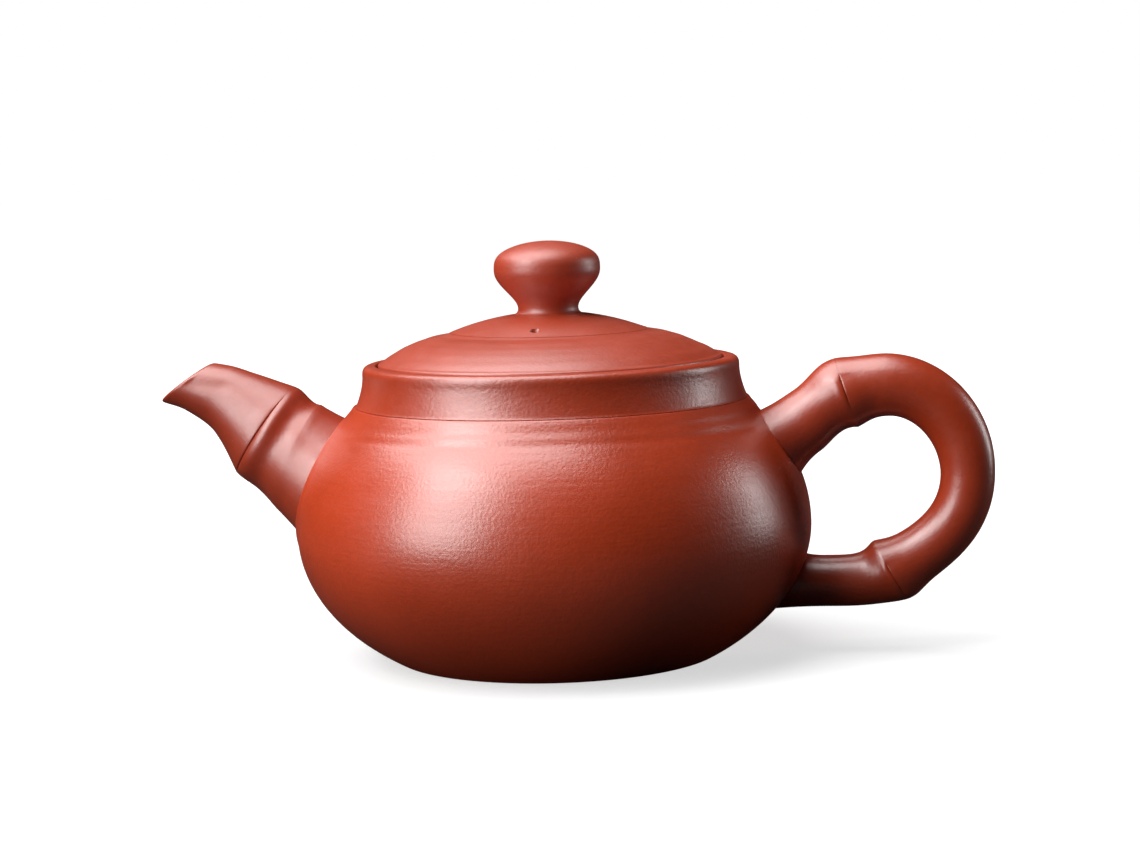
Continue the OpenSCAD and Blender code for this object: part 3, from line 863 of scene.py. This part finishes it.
def slit(beside, from_top, start_deg, end_deg):
    """A short slit across the two sides of a handle's node: a raised edge on the root's side, a fine
    line, and a soft step down on the bow's side."""
    starts = ease(math.radians(start_deg - 9), math.radians(start_deg + 5), from_top)
    sides = starts * (1 - ease(math.radians(end_deg - 16), math.radians(end_deg + 14), from_top))
    reach = 1.3 if beside > 0 else 0.14
    step = 0.18 * np.exp(-abs(beside) / reach) + 0.10 * np.exp(-abs(beside) / 0.09)
    return sides * (0.12 * hump(beside + 0.8, 0.6) - step)


def upper_node(beside):
    """How far the upper node stands out, at a distance past it: negative on the root's side."""
    ridge = bumps(beside, (0.5, -0.9, 2.7))
    over = OVER * bumps(beside, (0.55, -0.6, 3.6))
    under = UNDER * bumps(beside, (0.4, 0.5, 3.4))
    return ridge + over + under + slit(beside, FROM_TOP, 56, 106)


def lower_node(beside, inside_loop):
    """The same for the second node, whose ridge runs slantwise: nearer the root inside the bow than
    outside it. inside_loop is the turn from the tube's side that faces the handle's other end."""
    slant = 1.3 * np.cos(inside_loop)
    inner = 0.6 * (1 - ease(0.0, math.radians(75), inside_loop)) * hump(beside + 1.0, 3.6)
    outer = 0.4 * ease(math.radians(105), math.pi, inside_loop) * hump(beside - 0.8, 3.6)
    return 0.5 * hump(beside + slant, 2.7) + inner + outer + slit(beside, inside_loop, 71, 138)


def make_handle_upper():
    """The length from the belly up to the first node."""
    length = UPPER_PATH.length
    rings = []
    for distance in stations(length)[::-1]:
        start = length - distance
        half = HANDLE_TOP_T / 2 + 0.35 * hump(start, 3.5)
        under = -0.5 * UNDER * hump(start - 2.6, 3.2)
        off = upper_node(-distance) + under + 0.12 * OVER * hump(start, 5.0)
        rings.append(handle_section(UPPER_PATH, start, half, off))
    inward = -direction(UPPER_ROOT_SLOPE_DEG)
    root = root_run(rings[0], np.array([inward[0], 0.0, inward[1]]), 0.45 + 0.9 * UNDER)
    handle = skin("handle_root_length", np.array(root + rings), closed=False)
    dress(handle, "pot", "clay_trim", handle_clay, "handle_upper")


def make_handle_bow():
    """The long bow between the two nodes."""
    length = BOW_PATH.length
    half_way = stations(length / 2)
    distances = np.concatenate([half_way, length - half_way[-2::-1]])
    rise_len = Path(RISE).length
    far_len = rise_len + Path(SHOULDER).length
    rings = []
    for distance in distances:
        left = length - distance
        if distance < rise_len:
            thickness = HANDLE_TOP_T
        elif distance < far_len:
            thickness = lerp(HANDLE_TOP_T, HANDLE_T, (distance - rise_len) / (far_len - rise_len))
        else:
            share = (distance - far_len) / (length - far_len)
            thickness = lerp(HANDLE_T, LOWER_END_T, share**3)
        off = upper_node(distance) + lower_node(left, math.pi - FROM_TOP)
        off = off + dent(distance, 4.6, 1.8, -122, 28, 0.22)
        rings.append(handle_section(BOW_PATH, distance, thickness / 2, off))
    handle = skin("handle_bow_length", np.array(rings), closed=False)
    dress(handle, "pot", "clay_trim", handle_clay, "handle_bow")


def make_handle_lower():
    """The length from the second node back to the belly."""
    length = LOWER_PATH.length
    rings = []
    for distance in stations(length)[::-1]:
        share = 1 - distance / length
        half = lerp(LOWER_T, LOWER_END_T, share**3) / 2
        off = lower_node(-distance, FROM_TOP)
        rings.append(handle_section(LOWER_PATH, length - distance, half, off))
    root = root_run(rings[0], np.array([-1.0, 0.0, 0.0]), 0.35)
    handle = skin("handle_foot_length", np.array(root + rings), closed=False)
    dress(handle, "pot", "clay_trim", handle_clay, "handle_lower")


# ---- Lid ----
DOME_A = LID_R + LID_RUN_OUT
DOME_B = LID_RISE / (1 - math.sqrt(1 - (LID_R / DOME_A) ** 2))


def dome(r):
    """Height of the lid's plain dome."""
    return LID_EDGE_Z + LID_RISE - DOME_B * (1 - np.sqrt(1 - (r / DOME_A) ** 2))


def lid_swell(r, angle):
    """How far the lid's top stands above its plain dome: the crown, which sits a little to the
    spout's side and sinks softly into the dome, the valley round it, and the uneven turning."""
    near = 0.5 + 0.5 * np.cos(angle - UNEVEN_TURN)  # 1 on the handle's side, 0 on the spout's
    cap = (CROWN_H + 0.05) * (1 - (r / (CROWN_R + 0.5 - 1.3 * near)) ** 2)
    valley = bumps(r, (-0.17, CROWN_R + 1.0, 1.5)) + near * bumps(r, (-0.15, 27.5, 1.8))
    raised = 0.16 * (1 - near) * ease(CROWN_R + 1, CROWN_R + 4, r) * (1 - ease(26, 30, r))
    rings = 0.012 * np.sin(r * 2.6 + 0.7 * np.sin(angle + 0.8)) * ease(CROWN_R, CROWN_R + 2, r)
    rings = rings * (1 - ease(LID_R - 1.5, LID_R - 0.3, r))
    return soft_max(cap, valley + raised, 0.1) + rings


def soft_max(a, b, softness):
    """The larger of two heights, with a round change from one to the other."""
    return (a + b + np.sqrt((a - b) ** 2 + softness**2)) / 2


def crown(r):
    """Height of the crown's top at the front, where the air hole is."""
    return dome(r) + lid_swell(r, math.radians(VENT_DIR_DEG))


def vent_drill():
    """The cutter of the air hole, whose ends flare a little."""
    angle = math.radians(VENT_DIR_DEG)
    place = (VENT_OUT * math.cos(angle), VENT_OUT * math.sin(angle), LID_UNDER_Z)
    top = crown(VENT_OUT) - LID_UNDER_Z
    under = dome(VENT_OUT) - LID_T - LID_UNDER_Z
    wide = 1.2 * VENT_R
    outline = [
        (wide, 0), (wide, under), (VENT_R, under + 0.4), (VENT_R, top - 0.25),
        (wide, top + 0.05), (1.5 * wide, top + 3),
    ]
    return drill("vent", outline, place, (0, 0, 1), around=32)


def lid_shape(r, z, angle):
    """Lifts the plate's top to the lid's real surface, and sinks it where the crown covers it."""
    plain = dome(np.minimum(r, LID_R))
    top = ease(plain - 1.0, plain - 0.2, z)
    bare = ease(CROWN_R - 0.25, CROWN_R - 0.1, r)
    return r, z + top * lerp(-0.1, lid_swell(r, angle), bare)


def crown_shape(r, z, angle):
    """Lifts the crown's top to the lid's real surface."""
    top = ease(0.01, 0.03, z - dome(r))
    return r, z + top * lid_swell(r, angle)


def make_lid():
    """The domed plate of the lid."""
    top = [(r, dome(r), 0) for r in np.linspace(0.3, LID_R - 0.6, 90)]
    hollow = [(r, dome(r) - LID_T, 0) for r in np.linspace(HOLLOW_R - 1.2, 0.3, 50)]
    outline = softened([
        *top,
        (LID_R, dome(LID_R - 0.5) - 0.1, 0.5),
        (LID_R, LID_UNDER_Z, 0.3),
        (HOLLOW_R, LID_UNDER_Z, 0.3),
        *hollow,
    ])
    lid = turned("lid_dome", outline, lid_shape, closed=False)
    cut(lid, vent_drill())
    dress(lid, "lid", "clay_lid", lid_clay, "lid_plate")
    line_inside(lid, lambda r, z: r < LID_R - 0.8 and z < dome(r) - 1.2)


def make_crown():
    """The raised disc in the middle of the lid, which the knob stands on."""
    under = [(r, dome(r) - 0.12, 0) for r in np.linspace(0.3, CROWN_R - 0.05, 40)]
    over = [(r, dome(r) + 0.03, 0) for r in np.linspace(CROWN_R, KNOB_FOOT_R - 1.0, 90)]
    outline = np.array([point[:2] for point in [*under, *over]])
    disc = turned("lid_crown_disc", outline, crown_shape, closed=False)
    cut(disc, vent_drill())
    dress(disc, "lid", "clay_lid", lid_clay, "lid_crown")


def make_flange():
    """The ring under the lid that keeps it in the mouth."""
    top_z = LID_UNDER_Z
    outline = softened([
        (FLANGE_R, (FLANGE_LOW_Z + top_z) / 2, 0), (FLANGE_R, FLANGE_LOW_Z, 0.6),
        (HOLLOW_R, FLANGE_LOW_Z, 0.6), (HOLLOW_R, top_z, 0), (FLANGE_R, top_z, 0),
        (FLANGE_R, (FLANGE_LOW_Z + top_z) / 2, 0),
    ])
    flange = turned("lid_skirt", outline[:-1])
    dress(flange, "lid", "clay_inside", inside_clay, "lid_flange")


def make_knob():
    """The button knob, on a waisted stem that flares into the crown."""
    neck_z = KNOB_SEAT_Z + KNOB_FOOT_H
    wide_z = KNOB_TOP_Z - KNOB_TOP_H
    rise = wide_z - neck_z
    foot = bezier([
        (KNOB_FOOT_R, KNOB_SEAT_Z), (lerp(KNOB_FOOT_R, KNOB_NECK_R, 0.6), KNOB_SEAT_Z),
        (KNOB_NECK_R, lerp(KNOB_SEAT_Z, neck_z, 0.4)), (KNOB_NECK_R, neck_z),
    ], 14)
    cup = bezier([
        (KNOB_NECK_R, neck_z), (KNOB_NECK_R, neck_z + 0.27 * rise),
        (KNOB_R, wide_z - 0.45 * rise), (KNOB_R, wide_z),
    ], 46)
    turn = np.linspace(0, 1.55, 40)
    top = np.stack([KNOB_R * np.cos(turn), wide_z + KNOB_TOP_H * np.sin(turn)], axis=1)
    outline = np.concatenate([[(0.3, KNOB_SEAT_Z)], foot, cup[1:], top[1:]])

    def pinched(r, z, angle):
        uneven = 0.05 * np.sin(2 * angle + 0.3) + 0.03 * np.sin(3 * angle + z / 3)
        uneven = uneven + bumps(z, (-0.34, wide_z + 0.2, 1.8))
        return r * (1 + uneven / KNOB_R * ease(neck_z, wide_z, z)), z

    knob = turned("knob_button", outline, pinched, closed=False, around=240)
    dress(knob, "lid", "clay_lid", lid_clay, "knob")


# ---- Stage ----
CAMERA_TURN_DEG = 8.0  # from straight in front towards the handle
CAMERA_PLACE = Vector((0.0, -476.48, 93.01)) * MM  # before that turn
CAMERA_AIM = Vector((3.359, 0.0, 42.161)) * MM
CAMERA_ROLL = 0.030451
CAMERA_LENS = 81.23  # mm, on Blender's 36 mm sensor
LAMP_AIM = Vector((0.0, 0.0, 35.0)) * MM
LAMP_DISTANCE = 0.80  # metres
ROOM_LIGHT = 0.01
FLOOR_HALF_SIDE = 6.0  # metres, as in the next line
FLOOR_FADE = (0.10, 0.40)  # distances from the pot's axis between which the floor turns white
FLOOR_GLOW = 0.62  # how bright the floor is to the camera at the pot, before its own shading
FLOOR_GREY = 0.5  # how pale its shaded part is to the camera
FLOOR_GREY_TO_POT = 0.03


def make_camera():
    """The camera, rolled a little round its own line of sight."""
    turned_by = Matrix.Rotation(math.radians(CAMERA_TURN_DEG), 3, "Z")
    place = turned_by @ CAMERA_PLACE
    ahead = (turned_by @ CAMERA_AIM - place).normalized()
    right = ahead.cross(Vector((0, 0, 1))).normalized()
    up = right.cross(ahead)
    tilted_right = math.cos(CAMERA_ROLL) * right - math.sin(CAMERA_ROLL) * up
    tilted_up = math.sin(CAMERA_ROLL) * right + math.cos(CAMERA_ROLL) * up
    turn = Matrix((tilted_right, tilted_up, -ahead)).transposed().to_4x4()
    data = bpy.data.cameras.new("camera")
    data.lens = CAMERA_LENS
    camera = bpy.data.objects.new("camera", data)
    camera.matrix_world = Matrix.Translation(place) @ turn
    bpy.context.scene.collection.objects.link(camera)
    bpy.context.scene.camera = camera


def softbox(name, azimuth_deg, elevation_deg, width, height, power):
    """A rectangular lamp that faces the pot, with sizes in metres and its power in watts. Azimuth 0
    is above the camera, and 90 is to its right."""
    azimuth = math.radians(azimuth_deg + CAMERA_TURN_DEG)
    elevation = math.radians(elevation_deg)
    back = Vector((
        math.sin(azimuth) * math.cos(elevation),
        -math.cos(azimuth) * math.cos(elevation),
        math.sin(elevation),
    ))
    data = bpy.data.lights.new(name, "AREA")
    data.shape = "RECTANGLE"
    data.size = width
    data.size_y = height
    data.energy = power
    lamp = bpy.data.objects.new(name, data)
    lamp.location = LAMP_AIM + LAMP_DISTANCE * back
    lamp.rotation_mode = "QUATERNION"
    lamp.rotation_quaternion = back.to_track_quat("Z", "Y")
    lamp.visible_camera = False
    bpy.context.scene.collection.objects.link(lamp)


def make_lamps():
    """A tall key at the left, a wide top light behind it, and a narrow strip at the far right."""
    softbox("key", -53, 26, width=0.50, height=0.80, power=6.0)
    softbox("top", -92, 70, width=0.90, height=0.90, power=10.0)
    softbox("right_strip", 103, 7, width=0.18, height=0.60, power=1.9)


def make_world():
    """White to the camera, and a very weak even light on everything else."""
    world = bpy.data.worlds.new("room")
    world.use_nodes = True
    tree = world.node_tree
    seen = node(tree, "ShaderNodeLightPath").outputs["Is Camera Ray"]
    strength = remap(tree, seen, 0.0, 1.0, ROOM_LIGHT, 1.0)
    tree.links.new(strength, tree.nodes["Background"].inputs["Strength"])
    tree.nodes["Background"].inputs["Color"].default_value = (1, 1, 1, 1)
    bpy.context.scene.world = world


def grey_diffuse(tree, level):
    """A matte grey shader."""
    return node(tree, "ShaderNodeBsdfDiffuse", (("Color", (level, level, level, 1)),)).outputs[0]


def floor_material():
    """Pale, and brighter further out until it is the white of the room. The pot sees it darker than
    the camera does, so it bounces little light."""
    material = bpy.data.materials.new("floor")
    material.use_nodes = True
    tree = material.node_tree
    tree.nodes.remove(tree.nodes["Principled BSDF"])
    metres = node(tree, "ShaderNodeTexCoord").outputs["Object"]
    out = node(tree, "ShaderNodeVectorMath", ((0, metres),), operation="LENGTH").outputs["Value"]
    strength = remap(tree, out, *FLOOR_FADE, FLOOR_GLOW, 1.0)
    glow_inputs = (("Color", (1, 1, 1, 1)), ("Strength", strength))
    glow = node(tree, "ShaderNodeEmission", glow_inputs).outputs[0]
    shaded = grey_diffuse(tree, FLOOR_GREY)
    pale = node(tree, "ShaderNodeAddShader", ((0, shaded), (1, glow))).outputs[0]
    seen = node(tree, "ShaderNodeLightPath").outputs["Is Camera Ray"]
    shades = ((0, seen), (1, grey_diffuse(tree, FLOOR_GREY_TO_POT)), (2, pale))
    mixed = node(tree, "ShaderNodeMixShader", shades).outputs[0]
    tree.links.new(mixed, tree.nodes["Material Output"].inputs["Surface"])
    return material


def make_floor():
    """A wide floor that keeps the pot's shadow, and that runs out into the white room."""
    size = FLOOR_HALF_SIDE
    mesh = bpy.data.meshes.new("floor")
    corners = [(-size, -size, 0), (size, -size, 0), (size, size, 0), (-size, size, 0)]
    mesh.from_pydata(corners, [], [(0, 1, 2, 3)])
    mesh.materials.append(floor_material())
    floor = bpy.data.objects.new("floor", mesh)
    bpy.context.scene.collection.objects.link(floor)


make_camera()
make_world()
make_lamps()
make_floor()

make_belly()
make_base()
make_neck()
make_ledge()
make_spout_base()
make_spout_tip()
make_strainer()
make_handle_upper()
make_handle_bow()
make_handle_lower()
make_lid()
make_crown()
make_flange()
make_knob()

bpy.context.scene.view_settings.view_transform = "Standard"
